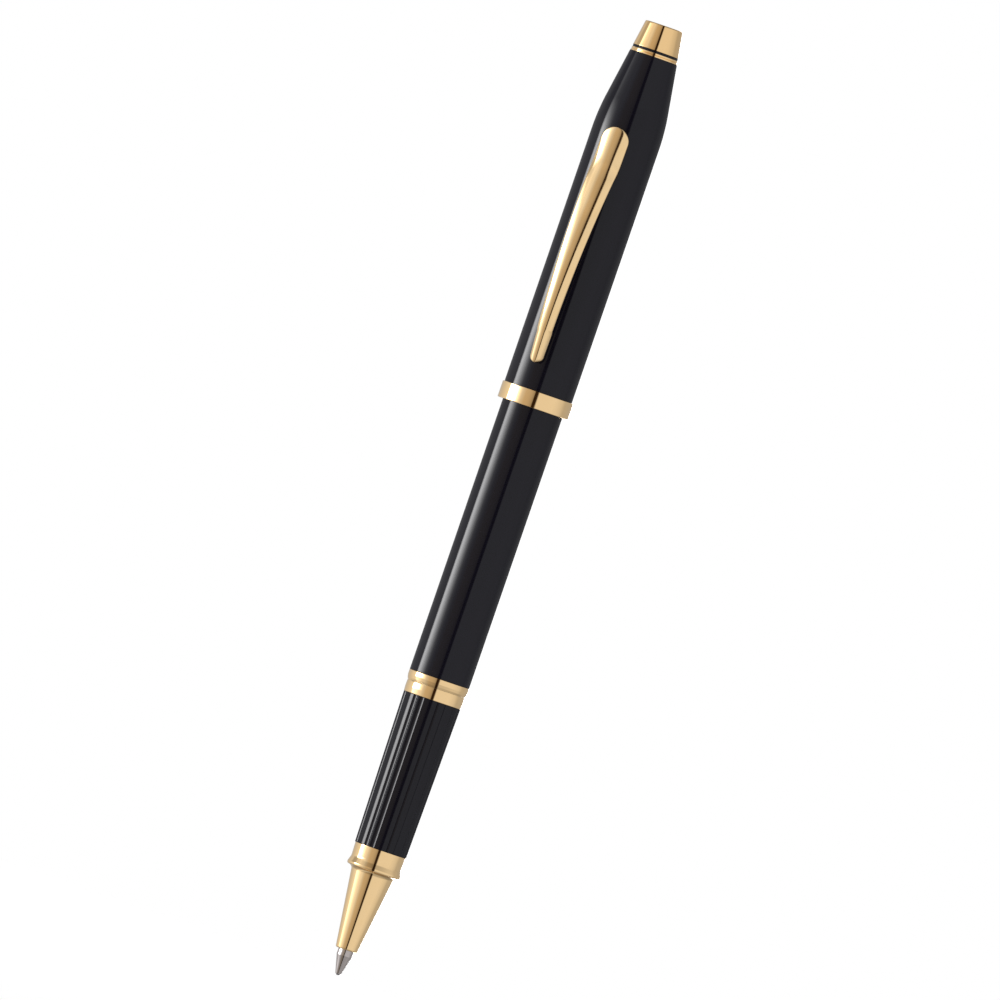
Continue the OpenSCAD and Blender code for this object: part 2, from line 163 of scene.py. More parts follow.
def paint(piece, material, body, slot, *nodes):
    """Gives a new piece its material, and says what it rides on and the CAD nodes it stands for. The slot is
    not used.
    """
    piece.data.materials.clear()
    piece.data.materials.append(material)
    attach(piece, body)
    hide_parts(*nodes)
    return piece


# Buffed black lacquer: a pigmented body with no gloss of its own under a thin hard coat. The coat
# has a faint orange peel, a few fine nibs of dust, and hairline marks of pocket wear along it.
def buffed_lacquer(name, colour, deep, peel_mm, scratch_mm, gloss):
    material, tree, shader = new_finish(
        name, colour, Roughness=0.3, Specular_IOR_Level=0, Coat_Weight=0.375, Coat_IOR=1.6)
    place = add(tree, "ShaderNodeTexCoord").outputs["Object"]
    peel = add(tree, "ShaderNodeTexNoise", {"Vector": place, "Scale": 1 / (peel_mm * MM), "Detail": 2})
    hairs = add(tree, "ShaderNodeMapping", {"Vector": place, "Scale": (1, 1, 0.06)})
    wear = add(tree, "ShaderNodeTexNoise",
               {"Vector": hairs.outputs[0], "Scale": 1 / (scratch_mm * MM), "Detail": 4, "Roughness": 0.7})
    blur = add(tree, "ShaderNodeMapRange",
               {"Value": wear.outputs["Fac"], "From Min": 0.35, "From Max": 0.75,
                "To Min": gloss * 0.8, "To Max": gloss * 1.6})
    tree.links.new(blur.outputs[0], shader.inputs["Coat Roughness"])
    nibs = add(tree, "ShaderNodeTexVoronoi", {"Vector": place, "Scale": 1 / (0.9 * MM)})
    specks = add(tree, "ShaderNodeMapRange",
                 {"Value": nibs.outputs["Distance"], "From Min": 0.05, "From Max": 0.12,
                  "To Min": 1, "To Max": 0})
    relief = add(tree, "ShaderNodeMath", {0: specks.outputs[0], 1: 0.12, 2: peel.outputs["Fac"]},
                 operation="MULTIPLY_ADD")
    bump = add(tree, "ShaderNodeBump",
               {"Height": relief.outputs[0], "Strength": 0.25, "Distance": 0.004 * MM})
    tree.links.new(bump.outputs[0], shader.inputs["Coat Normal"])
    depth = add(tree, "ShaderNodeTexNoise", {"Vector": place, "Scale": 1 / (0.35 * MM), "Detail": 3})
    tone = add(tree, "ShaderNodeMix",
               {0: depth.outputs["Fac"], 6: linear(colour), 7: linear(deep)}, data_type="RGBA")
    tree.links.new(tone.outputs[2], shader.inputs["Base Color"])
    return material


lacquer = buffed_lacquer("buffed_black_lacquer", "#0F0E17", "#12111A", 2.2, 0.25, 0.045)

barrel_wall = 0.455
posted_relief = 0.02
posted_taper = 1.0
edge = 0.06
barrel_r, barrel_z, tail_z = span("barrel_tube")
lip_r, lip_z, lip_top = span("lip_ring")
barrel_bore = barrel_r - barrel_wall
barrel = lathe("barrel", soften([
    (barrel_bore, barrel_z), (barrel_r, barrel_z, edge), (barrel_r, lip_z),
    (barrel_r - posted_relief, lip_z + posted_taper),
    (barrel_r - posted_relief, tail_z, edge), (barrel_bore, tail_z)]))
paint(barrel, lacquer, "barrel", "barrel_lacquer", "barrel_tube")


# ---------------------------------------------------------------- barrel tail
# The tail plug closes the rear of the barrel. It is turned brass under the same lacquer, pressed
# into the tube, with the spring's pocket inside and a stepped-down end that the inner cap grips.
_, tail_spigot_z, tail_top = span("barrel_tail")
tail_r = 4.15
pocket_r = 3.06
end_wall = 2.1
pocket_floor = tail_top - end_wall
tail_bevel = 0.5
barrel_tail = lathe("barrel_tail_plug", soften([
    (0, pocket_floor), (pocket_r, pocket_floor, 0.3), (pocket_r, tail_spigot_z),
    (barrel_bore, tail_spigot_z, 0.1), (barrel_bore, tail_z), (tail_r, tail_z),
    (tail_r, tail_top - tail_bevel, 0.25), (tail_r - tail_bevel, tail_top, 0.25), (0, tail_top)]))
paint(barrel_tail, lacquer, "barrel", "tail_lacquer", "barrel_tail")


# ---------------------------------------------------------------- trim rings
# Two rings of brass, turned, polished and gold plated, meet where the section unscrews. Each
# flares from the joint, so the pair reads as one band with a soft waist and a hairline joint.

# Polished gold plate: turning marks that follow height and radius are nearly buffed out, and the
# plate drifts in soft patches between its full tone and a slightly worn one.
def turned_plate(name, colour, worn, line_mm, gloss):
    material, tree, shader = new_finish(name, colour, Metallic=1, Roughness=gloss)
    place = add(tree, "ShaderNodeTexCoord").outputs["Object"]
    axes = add(tree, "ShaderNodeSeparateXYZ", {0: place})
    flat = add(tree, "ShaderNodeCombineXYZ", {0: axes.outputs[0], 1: axes.outputs[1]})
    out = add(tree, "ShaderNodeVectorMath", {0: flat.outputs[0]}, operation="LENGTH")
    across = add(tree, "ShaderNodeMath", {0: axes.outputs[2], 1: out.outputs["Value"]}, operation="ADD")
    marks = add(tree, "ShaderNodeTexNoise",
                {"W": across.outputs[0], "Scale": 1 / (line_mm * MM), "Detail": 3},
                noise_dimensions="1D")
    tone = add(tree, "ShaderNodeTexNoise", {"Vector": place, "Scale": 1 / (1.4 * MM), "Detail": 3})
    colours = add(tree, "ShaderNodeMix",
                  {0: tone.outputs["Fac"], 6: linear(colour), 7: linear(worn)}, data_type="RGBA")
    tree.links.new(colours.outputs[2], shader.inputs["Base Color"])
    blur = add(tree, "ShaderNodeMapRange",
               {"Value": tone.outputs["Fac"], "From Min": 0.3, "From Max": 0.7,
                "To Min": gloss * 0.75, "To Max": gloss * 1.35})
    tree.links.new(blur.outputs[0], shader.inputs["Roughness"])
    bump = add(tree, "ShaderNodeBump",
               {"Height": marks.outputs["Fac"], "Strength": 0.2, "Distance": 0.0015 * MM})
    tree.links.new(bump.outputs[0], shader.inputs["Normal"])
    return material


gold = turned_plate("polished_gold_plate", "#F8D49C", "#F9D8A6", 0.18, 0.05)

ring_edge = 0.09
waist = 0.19
flare = 0.03
_, joint_z, ring_top = span("barrel_ring")
barrel_ring = lathe("barrel_trim_ring", soften([
    (barrel_bore, joint_z), (barrel_r - waist, joint_z), (barrel_r - waist + 0.1, joint_z + 0.28, 0.5),
    (barrel_r + 0.015, joint_z + 0.75, 0.6), (barrel_r + 0.005, ring_top, ring_edge),
    (barrel_bore, ring_top)]))
paint(barrel_ring, gold, "barrel", "gold_plate", "barrel_ring")

thread_r = 3.8
_, trim_z, lower_top = span("section_ring")
section_ring = lathe("section_trim_ring", soften([
    (thread_r, trim_z), (barrel_r - waist - flare, trim_z, ring_edge),
    (barrel_r - waist + flare, trim_z + 0.9, 3.0), (barrel_r - waist, lower_top - 0.12, 0.3),
    (barrel_r - waist - 0.03, lower_top), (thread_r, lower_top)]))
paint(section_ring, gold, "section", "gold_plate", "section_ring")


# ---------------------------------------------------------------- nose cone
# The nose is one turned brass piece under gold plate: a long cone, a raised bead that the inner
# cap snaps over, and a waisted collar under the grip, with a spigot up inside the grip.
nose_cad_r, nose_z, spigot_top = span("nose_cone")
grip_cad_r, grip_z, grip_top = span("grip")
point_hole = 1.24
nose_front_r = 1.68
nose_rear_r = 3.3
throat_r = 2.0
throat_z = 9.5
step_z = 17.0
sleeve_bore = 3.01
grip_bore = 3.5
collar_r = 3.94
bead_z = 16.3
collar_z = 17.25
bead_r = nose_cad_r
nose_cone = lathe("nose_cone_turned", soften([
    (point_hole, nose_z, 0.08), (nose_front_r - 0.02, nose_z, 0.22),
    (nose_rear_r - 0.01, bead_z - 0.22, 0.6), (nose_rear_r + 0.32, bead_z + 0.02, 0.25),
    (bead_r - 0.05, bead_z + 0.14, 0.22), (bead_r, bead_z + 0.5, 0.3),
    (collar_r + 0.1, collar_z - 0.02, 0.12), (collar_r - 0.06, collar_z + 0.45, 1.2),
    (collar_r + 0.02, grip_z, 0.05), (grip_bore, grip_z), (grip_bore, spigot_top),
    (sleeve_bore, spigot_top),
    (sleeve_bore, step_z), (throat_r, step_z), (throat_r, throat_z), (point_hole, throat_z)]))
paint(nose_cone, gold, "section", "nose_gold", "nose_cone")


# ---------------------------------------------------------------- fluted grip
# The grip is a moulded gloss-black sleeve, tapered towards the nose, with shallow lengthwise
# flutes in eight pairs. It slides over the brass sleeve and is held between nose and trim ring.
def group_inputs(tree, sizes):
    """Named number inputs of a node group, then its geometry in and out. Returns its input node."""
    tree.interface.new_socket("Geometry", in_out="INPUT", socket_type="NodeSocketGeometry")
    for key in sizes:
        tree.interface.new_socket(key, in_out="INPUT", socket_type="NodeSocketFloat")
    tree.interface.new_socket("Finish", in_out="INPUT", socket_type="NodeSocketMaterial")
    tree.interface.new_socket("Geometry", in_out="OUTPUT", socket_type="NodeSocketGeometry")
    return add(tree, "NodeGroupInput")


def end_group(tree, geometry, given):
    """Ends a group with real mesh in its own material."""
    real = add(tree, "GeometryNodeRealizeInstances", {0: geometry})
    made = add(tree, "GeometryNodeSetMaterial",
               {"Geometry": real.outputs[0], "Material": given.outputs["Finish"]})
    add(tree, "NodeGroupOutput", {0: made.outputs[0]})


def polar(tree):
    """Each point's height, its level part, and its radius and angle round the pen's axis."""
    spot = add(tree, "ShaderNodeSeparateXYZ", {0: add(tree, "GeometryNodeInputPosition").outputs[0]})
    level = add(tree, "ShaderNodeCombineXYZ", {0: spot.outputs[0], 1: spot.outputs[1]}).outputs[0]
    radius = add(tree, "ShaderNodeVectorMath", {0: level}, operation="LENGTH").outputs["Value"]
    angle = add(tree, "ShaderNodeMath", {0: spot.outputs[1], 1: spot.outputs[0]}, operation="ARCTAN2")
    return spot.outputs[2], level, radius, angle.outputs[0]


def end_at_radius(tree, given, height, level, radius, wanted):
    """Ends a group with each point moved to its wanted radius, at its own height and angle."""
    share = add(tree, "ShaderNodeMath", {0: wanted, 1: radius}, operation="DIVIDE")
    flat_part = add(tree, "ShaderNodeVectorMath", {0: level, "Scale": share.outputs[0]}, operation="SCALE")
    upright = add(tree, "ShaderNodeCombineXYZ", {2: height})
    target = add(tree, "ShaderNodeVectorMath", {0: flat_part.outputs[0], 1: upright.outputs[0]},
                 operation="ADD")
    moved = add(tree, "GeometryNodeSetPosition",
                {"Geometry": given.outputs["Geometry"], "Position": target.outputs[0]})
    end_group(tree, moved.outputs[0], given)


def bake(piece, tree, sizes, material):
    """Runs a node group on a piece with these sizes and leaves its result as a plain mesh."""
    modifier = piece.modifiers.new("shape", "NODES")
    modifier.node_group = tree
    values = {**sizes, "Finish": material}
    for item in tree.interface.items_tree:
        if item.in_out == "INPUT" and item.name in values:
            modifier[item.identifier] = values[item.name]
    seen = piece.evaluated_get(bpy.context.evaluated_depsgraph_get())
    mesh = bpy.data.meshes.new_from_object(seen)
    piece.modifiers.clear()
    piece.data = mesh
    smooth(mesh)
    return piece


flute_sizes = {"Pairs": 8, "Pair Angle": math.radians(14.2), "Phase": math.radians(-101.25),
               "Flute Radius": 0.7 * MM, "Depth": 0.12 * MM, "Bore": 3.75 * MM}
fluting = bpy.data.node_groups.new("flutes_round_the_grip", "GeometryNodeTree")
given = group_inputs(fluting, flute_sizes)
height, level, radius, angle = polar(fluting)
from_pair = add(fluting, "ShaderNodeMath", {0: angle, 1: given.outputs["Phase"]}, operation="SUBTRACT")
half_cell = add(fluting, "ShaderNodeMath", {0: math.pi, 1: given.outputs["Pairs"]}, operation="DIVIDE")
fold = add(fluting, "ShaderNodeMath", {0: from_pair.outputs[0], 1: half_cell.outputs[0]},
           operation="PINGPONG")
half_pair = add(fluting, "ShaderNodeMath", {0: given.outputs["Pair Angle"], 1: 0.5}, operation="MULTIPLY")
aside = add(fluting, "ShaderNodeMath", {0: fold.outputs[0], 1: half_pair.outputs[0]}, operation="SUBTRACT")
bow = add(fluting, "ShaderNodeMath", {0: aside.outputs[0]}, operation="SINE")
offset = add(fluting, "ShaderNodeMath", {0: bow.outputs[0], 1: radius}, operation="MULTIPLY")
square = add(fluting, "ShaderNodeMath", {0: offset.outputs[0], 1: 2}, operation="POWER")
reach = add(fluting, "ShaderNodeMath", {0: given.outputs["Flute Radius"], 1: 2}, operation="POWER")
inside = add(fluting, "ShaderNodeMath", {0: reach.outputs[0], 1: square.outputs[0]}, operation="SUBTRACT")
floor_of = add(fluting, "ShaderNodeMath", {0: inside.outputs[0], 1: 0}, operation="MAXIMUM")
chord = add(fluting, "ShaderNodeMath", {0: floor_of.outputs[0]}, operation="SQRT")
rise = add(fluting, "ShaderNodeMath", {0: given.outputs["Flute Radius"], 1: given.outputs["Depth"]},
           operation="SUBTRACT")
below = add(fluting, "ShaderNodeMath", {0: chord.outputs[0], 1: rise.outputs[0]}, operation="SUBTRACT")
drop = add(fluting, "ShaderNodeMath", {0: below.outputs[0], 1: 0}, operation="MAXIMUM")
outside = add(fluting, "ShaderNodeMath", {0: radius, 1: given.outputs["Bore"]}, operation="GREATER_THAN")
cut = add(fluting, "ShaderNodeMath", {0: drop.outputs[0], 1: outside.outputs[0]}, operation="MULTIPLY")
kept = add(fluting, "ShaderNodeMath", {0: radius, 1: cut.outputs[0]}, operation="SUBTRACT")
end_at_radius(fluting, given, height, level, radius, kept.outputs[0])

# Gloss moulded plastic: softer than the lacquer, with faint flow lines along the mould's draw.
grip_black = buffed_lacquer("moulded_gloss_black", "#0E0D15", "#111018", 1.3, 0.4, 0.055)
grip_front_r = 4.045
grip = lathe("grip_fluted", soften([
    (grip_bore, grip_z), (grip_front_r, grip_z, 0.05), (grip_cad_r, grip_top, 0.05), (grip_bore, grip_top)],
    steps=4), around=1152)
bake(grip, fluting, flute_sizes, grip_black)
paint(grip, grip_black, "section", "grip_black", "grip")


# ---------------------------------------------------------------- threaded sleeve
# A brass sleeve runs up inside the grip and carries the thread that screws into the barrel's
# bush. The thread is cut, 0.75 mm a turn, with an undercut at its root and a chamfered start.

# Free-cutting brass as turned: fine tool lines, with duller patches where oil has dried on it.
brass = turned_plate("turned_brass", "#E8D4A0", "#D2B98A", 0.09, 0.22)

pitch = 0.75
start_chamfer = 0.4
thread_sizes = {"Pitch": pitch * MM, "Depth": 0.4 * MM, "Crest": thread_r * MM, "Bore": 3.3 * MM,
                "Start": 45.9 * MM}
threading = bpy.data.node_groups.new("thread_cut_along_a_sleeve", "GeometryNodeTree")
given = group_inputs(threading, thread_sizes)
height, level, radius, angle = polar(threading)
turn = add(threading, "ShaderNodeMath", {0: angle, 1: 2 * math.pi}, operation="DIVIDE")
climb = add(threading, "ShaderNodeMath", {0: height, 1: given.outputs["Pitch"]}, operation="DIVIDE")
along = add(threading, "ShaderNodeMath", {0: climb.outputs[0], 1: turn.outputs[0]}, operation="SUBTRACT")
ridge = add(threading, "ShaderNodeMath", {0: along.outputs[0], 1: 0.5}, operation="PINGPONG")
flank = add(threading, "ShaderNodeMapRange",
            {"Value": ridge.outputs[0], "From Min": 0.06, "From Max": 0.44})
undercut = add(threading, "ShaderNodeMath", {0: height, 1: given.outputs["Start"]}, operation="LESS_THAN")
share = add(threading, "ShaderNodeMath", {0: flank.outputs[0], 1: undercut.outputs[0]}, operation="MAXIMUM")
dip = add(threading, "ShaderNodeMath", {0: share.outputs[0], 1: given.outputs["Depth"]},
          operation="MULTIPLY")
form = add(threading, "ShaderNodeMath", {0: given.outputs["Crest"], 1: dip.outputs[0]},
           operation="SUBTRACT")
lower = add(threading, "ShaderNodeMath", {0: form.outputs[0], 1: radius}, operation="MINIMUM")
outside = add(threading, "ShaderNodeMath", {0: radius, 1: given.outputs["Bore"]}, operation="GREATER_THAN")
kept = add(threading, "ShaderNodeMix", {0: outside.outputs[0], 2: radius, 3: lower.outputs[0]})
end_at_radius(threading, given, height, level, radius, kept.outputs[0])


def threaded_run(r, start, end, pitch, chamfer):
    """Outline points up a threaded stretch, close enough together to carry the thread's form."""
    rows_a_turn = 14
    count = int((end - chamfer - start) / pitch * rows_a_turn)
    rows = [(r, start + (end - chamfer - start) * i / count) for i in range(count + 1)]
    return rows + [(r - chamfer * k / 5, end - chamfer + chamfer * k / 5) for k in range(1, 6)]


_, sleeve_z, sleeve_top = span("section_sleeve")
sleeve_outline = [(sleeve_bore, sleeve_z), (grip_bore, sleeve_z), (grip_bore, trim_z), (thread_r, trim_z),
                  *threaded_run(thread_r, lower_top, sleeve_top, pitch, start_chamfer),
                  (sleeve_bore, sleeve_top)]
sleeve = lathe("section_sleeve_threaded", sleeve_outline, around=144)
bake(sleeve, threading, thread_sizes, brass)
paint(sleeve, brass, "section", "brass", "section_sleeve")


# ---------------------------------------------------------------- barrel bush
# The bush is a turned brass tube with the mating thread, pressed into the trim ring and barrel.
# Only its lower edge can be seen, down the gap that opens as the section unscrews.
def refinish(material, *nodes):
    """Gives CAD nodes that are shown as they are a better material."""
    for name in nodes:
        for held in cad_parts[name].material_slots:
            held.material = material


refinish(brass, "barrel_bush")


# ---------------------------------------------------------------- refill
# A standard rollerball refill: black polypropylene tube, nose and vented plug, liquid ink, and a
# clear grease follower behind it. It drops into the section and the spring holds it forward.

# Extruded or moulded polypropylene: even, slightly waxy, with fine draw lines along the tube.
def moulded_plastic(name, colour, grain_mm, gloss):
    material, tree, shader = new_finish(name, colour, IOR=1.49, Roughness=gloss)
    place = add(tree, "ShaderNodeTexCoord").outputs["Object"]
    drawn = add(tree, "ShaderNodeMapping", {"Vector": place, "Scale": (1, 1, 0.05)})
    lines = add(tree, "ShaderNodeTexNoise",
                {"Vector": drawn.outputs[0], "Scale": 1 / (grain_mm * MM), "Detail": 4})
    blur = add(tree, "ShaderNodeMapRange",
               {"Value": lines.outputs["Fac"], "From Min": 0.3, "From Max": 0.7,
                "To Min": gloss * 0.85, "To Max": gloss * 1.2})
    tree.links.new(blur.outputs[0], shader.inputs["Roughness"])
    bump = add(tree, "ShaderNodeBump",
               {"Height": lines.outputs["Fac"], "Strength": 0.3, "Distance": 0.004 * MM})
    tree.links.new(bump.outputs[0], shader.inputs["Normal"])
    return material


refill_plastic = moulded_plastic("polypropylene_black", "#1B1B1E", 0.3, 0.34)
refinish(refill_plastic, "refill_tube", "refill_nose", "refill_plug")

# Liquid ink is nearly black in bulk with a blue edge; the follower is a straw-coloured grease.
def cloudy_liquid(name, colour, dark, light, cloud_mm, detail, ior, gloss):
    material, tree, shader = new_finish(name, colour, IOR=ior, Roughness=gloss)
    place = add(tree, "ShaderNodeTexCoord").outputs["Object"]
    clouds = add(tree, "ShaderNodeTexNoise",
                 {"Vector": place, "Scale": 1 / (cloud_mm * MM), "Detail": detail})
    tint = add(tree, "ShaderNodeMix", {0: clouds.outputs["Fac"], 6: linear(dark), 7: linear(light)},
               data_type="RGBA")
    tree.links.new(tint.outputs[2], shader.inputs["Base Color"])
    return material


ink = cloudy_liquid("liquid_ink", "#06081A", "#05060F", "#0A0F2C", 2, 2, 1.35, 0.02)
refinish(ink, "refill_ink")
grease = cloudy_liquid("follower_grease", "#D9CFA0", "#CFC48E", "#E6DDB8", 0.8, 3, 1.47, 0.12)
refinish(grease, "refill_follower")


# ---------------------------------------------------------------- writing point
# The point is turned from nickel silver: a shank pressed into the refill's nose and a cone
# rolled in over the ball. The ball is ground tungsten carbide and turns freely in its socket.
point_metal = turned_plate("turned_nickel_silver", "#C6BEBC", "#B4ACA9", 0.12, 0.16)
point_r, point_low, point_top = span("refill_point")
ball_r, _, _ = span("refill_ball")
socket_gap = 0.02
feed_r = 0.2
feed_z = 1.6
point_bore = 0.5
rim_r = 0.34
shank_z = 3.08
socket_r = ball_r + socket_gap
rim_angle = math.asin(rim_r / socket_r)
low_angle = math.asin(feed_r / socket_r)
rim_steps = 8
socket = []
for k in range(rim_steps + 1):
    a = low_angle + (math.pi - rim_angle - low_angle) * k / rim_steps
    socket.append((socket_r * math.sin(a), ball_r + socket_r * math.cos(a)))
writing_point = lathe("writing_point", [
    *socket, *soften([
        (0.345, point_low + 0.02, 0.015), (0.43, point_low + 0.04, 0.04),
        (point_r - 0.05, shank_z - 0.18, 0.5),
        (point_r, shank_z, 0.1), (point_r, point_top, 0.1), (point_bore, point_top),
        (point_bore, feed_z), (feed_r, feed_z)],
        steps=5)], around=128)
paint(writing_point, point_metal, "refill", "point_steel", "refill_point")

carbide = turned_plate("ground_tungsten_carbide", "#8E8E92", "#7E7E83", 0.05, 0.1)
ball_steps = 24
ball = lathe("writing_ball", [
    (ball_r * math.sin(math.pi * k / ball_steps), ball_r - ball_r * math.cos(math.pi * k / ball_steps))
    for k in range(ball_steps + 1)], around=48)
paint(ball, carbide, "ball", "ball_carbide", "refill_ball")


# ---------------------------------------------------------------- refill spring
# A coil of stainless spring wire sits in the tail's pocket and presses on the refill's plug. Its
# end coils are closed so that it stands square, and its open coils give the refill its float.
spring_low, spring_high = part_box("refill_spring")
wire_d = 0.5
dead_rise = 0.52
spring_sizes = {"Turns": 6, "Coil Radius": 2.6 * MM, "Wire": wire_d / 2 * MM,
                "Bottom": spring_low.z + wire_d / 2 * MM, "Dead Rise": dead_rise * MM,
                "Open Rise": spring_high.z - spring_low.z - wire_d * MM - 2 * dead_rise * MM}
coiling = bpy.data.node_groups.new("coil_with_closed_ends", "GeometryNodeTree")
given = group_inputs(coiling, spring_sizes)
line = add(coiling, "GeometryNodeCurvePrimitiveLine")
beads = add(coiling, "GeometryNodeResampleCurve", {"Curve": line.outputs[0], "Count": 288})
part = add(coiling, "GeometryNodeSplineParameter").outputs["Factor"]
full = add(coiling, "ShaderNodeMath", {0: given.outputs["Turns"], 1: 2 * math.pi}, operation="MULTIPLY")
angle = add(coiling, "ShaderNodeMath", {0: part, 1: full.outputs[0]}, operation="MULTIPLY")
cosine = add(coiling, "ShaderNodeMath", {0: angle.outputs[0]}, operation="COSINE")
sine = add(coiling, "ShaderNodeMath", {0: angle.outputs[0]}, operation="SINE")
x = add(coiling, "ShaderNodeMath", {0: cosine.outputs[0], 1: given.outputs["Coil Radius"]},
        operation="MULTIPLY")
y = add(coiling, "ShaderNodeMath", {0: sine.outputs[0], 1: given.outputs["Coil Radius"]},
        operation="MULTIPLY")
first_end = add(coiling, "ShaderNodeMath", {0: 1, 1: given.outputs["Turns"]}, operation="DIVIDE").outputs[0]
last_start = add(coiling, "ShaderNodeMath", {0: 1, 1: first_end}, operation="SUBTRACT").outputs[0]
dead = given.outputs["Dead Rise"]
lower_end = add(coiling, "ShaderNodeMapRange", {"Value": part, "From Max": first_end, "To Max": dead})
middle = add(coiling, "ShaderNodeMapRange",
             {"Value": part, "From Min": first_end, "From Max": last_start,
              "To Max": given.outputs["Open Rise"]})
upper_end = add(coiling, "ShaderNodeMapRange", {"Value": part, "From Min": last_start, "To Max": dead})
both = add(coiling, "ShaderNodeMath", {0: lower_end.outputs[0], 1: middle.outputs[0]}, operation="ADD")
rise = add(coiling, "ShaderNodeMath", {0: both.outputs[0], 1: upper_end.outputs[0]}, operation="ADD")
z = add(coiling, "ShaderNodeMath", {0: rise.outputs[0], 1: given.outputs["Bottom"]}, operation="ADD")
spot = add(coiling, "ShaderNodeCombineXYZ", {0: x.outputs[0], 1: y.outputs[0], 2: z.outputs[0]})
helix = add(coiling, "GeometryNodeSetPosition", {"Geometry": beads.outputs[0], "Position": spot.outputs[0]})
section_of = add(coiling, "GeometryNodeCurvePrimitiveCircle",
                 {"Resolution": 16, "Radius": given.outputs["Wire"]})
wire = add(coiling, "GeometryNodeCurveToMesh",
           {"Curve": helix.outputs[0], "Profile Curve": section_of.outputs[0], "Fill Caps": True})
end_group(coiling, wire.outputs[0], given)

# Drawn stainless wire: bright, with faint lines along the draw.
spring_wire = turned_plate("drawn_stainless_wire", "#B9BBBE", "#A6A9AD", 0.2, 0.24)
spring = bpy.data.objects.new("refill_spring_coil", bpy.data.meshes.new("refill_spring_coil"))
bpy.context.scene.collection.objects.link(spring)
bake(spring, coiling, spring_sizes, spring_wire)
paint(spring, spring_wire, "barrel", "spring_steel", "refill_spring")


# ---------------------------------------------------------------- cap tube and inner cap
# The cap is drawn brass under the same lacquer: straight, then rounded over a shoulder into a
# long shallow cone. A moulded inner cap seals the point and grips the nose bead or the tail.
cap_r, cap_z, cap_top = span("cap_tube")
cap_wall = 0.435
cap_bore = cap_r - cap_wall
shoulder_z = 132.2
shoulder_bend = 34.4
shoulder_angle = math.radians(9.04)
shoulder_steps = 24
stud_hole = 1.35
cap_end_wall = 1.4
shoulder = []
for k in range(shoulder_steps + 1):
    a = shoulder_angle * k / shoulder_steps
    shoulder.append((cap_r - shoulder_bend * (1 - math.cos(a)), shoulder_z + shoulder_bend * math.sin(a)))
cone_r, cone_z = shoulder[-1]
cap_end_r = cone_r - (cap_top - cone_z) * math.tan(shoulder_angle)
floor_z = cap_top - cap_end_wall
floor_r = cone_r - (floor_z - cone_z) * math.tan(shoulder_angle) - cap_wall
cap = lathe("cap_shell", soften([
    (cap_r, cap_z), *shoulder, (cap_end_r, cap_top, 0.05), (stud_hole, cap_top), (stud_hole, floor_z),
    (floor_r, floor_z, 0.3), (cone_r - cap_wall, cone_z), (cap_bore, shoulder_z), (cap_bore, cap_z)]))
paint(cap, lacquer, "cap", "cap_lacquer", "cap_tube")

liner_plastic = moulded_plastic("moulded_abs_liner", "#151517", 0.5, 0.4)
refinish(liner_plastic, "inner_cap")


# ---------------------------------------------------------------- lip ring
# A heavier gold-plated ring is pressed over the cap's open end. It stands a quarter of a
# millimetre proud, with small polished bevels and a floor that covers the tube's edge.
lip_bore = 4.85
lip_floor = 0.4
lip_bevel = 0.1
lip_ring = lathe("cap_lip_ring", soften([
    (lip_bore, lip_z, 0.05), (lip_r, lip_z, lip_bevel), (lip_r, lip_top, lip_bevel),
    (cap_r, lip_top), (cap_r, lip_z + lip_floor), (lip_bore, lip_z + lip_floor)]))
paint(lip_ring, gold, "cap", "gold_plate", "lip_ring")


# ---------------------------------------------------------------- pocket clip
# The clip is stamped from brass strip, formed to a rounded top and a long bow, polished and
# plated. Its head sits on the cap, a tang hooks through the wall, and a toe pad ends the arm.
clip_low, clip_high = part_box("clip")
clip_bottom, clip_top = clip_low.z / MM, clip_high.z / MM
clip_ridge = -clip_low.y / MM
head_half = clip_high.x / MM
corner_r = 2.15
neck_half = head_half - 0.04
head_length = 7.6
neck_z = clip_top - head_length
neck_blend = 1
end_half = 1.08
end_z = clip_bottom + end_half
bow_r = 75
apex_rise = 11.85
apex_z = clip_bottom + apex_rise
thickness = 1.05
toe_fullness = 1.05
head_flatness = 0.7
flatten_from = 1
flatten_over = 25
pad_crown = 3.7
pad_rise = 0.4
pad_slope = 0.088
pad_blend = 0.3
edge_round = 0.14
head_flank = 0.65
head_flank_from = 0.8
head_flank_over = 4
foot_wall = 0.16
toe_flank = 0.32
toe_flank_over = 0.5
under_round = 2.2
toe_depth = 0.65
toe_length = 5.15
toe_top = clip_bottom + toe_length
toe_step = 0.35
hollow = 0.3
hollow_over = 2
foot_step = 0.25
seat_gap = 0.02


def half_width_at(z):
    """Half the clip's width between its corners, seen from the front."""
    if z >= neck_z + neck_blend:
        return head_half
    if z >= neck_z:
        return neck_half + (head_half - neck_half) * (z - neck_z) / neck_blend
    return end_half + (neck_half - end_half) * (z - end_z) / (neck_z - end_z)


def top_at(x, z):
    """Distance of the clip's top surface in front of the axis."""
    t = min(1, max(0, (z - clip_bottom - flatten_from) / flatten_over))
    crown = half_width_at(max(z, end_z)) * (toe_fullness + head_flatness * t * t * (3 - 2 * t))
    arm = math.sqrt(bow_r ** 2 - (z - apex_z) ** 2) - bow_r + clip_ridge
    arm -= crown - math.sqrt(max(crown ** 2 - x ** 2, 0))
    pad = cap_r + pad_rise + (clip_top - z) * pad_slope
    pad -= pad_crown - math.sqrt(pad_crown ** 2 - x ** 2)
    if z < apex_z:
        return arm
    mix = max(pad_blend - abs(arm - pad), 0) / pad_blend
    return max(arm, pad) + mix * mix * pad_blend / 4


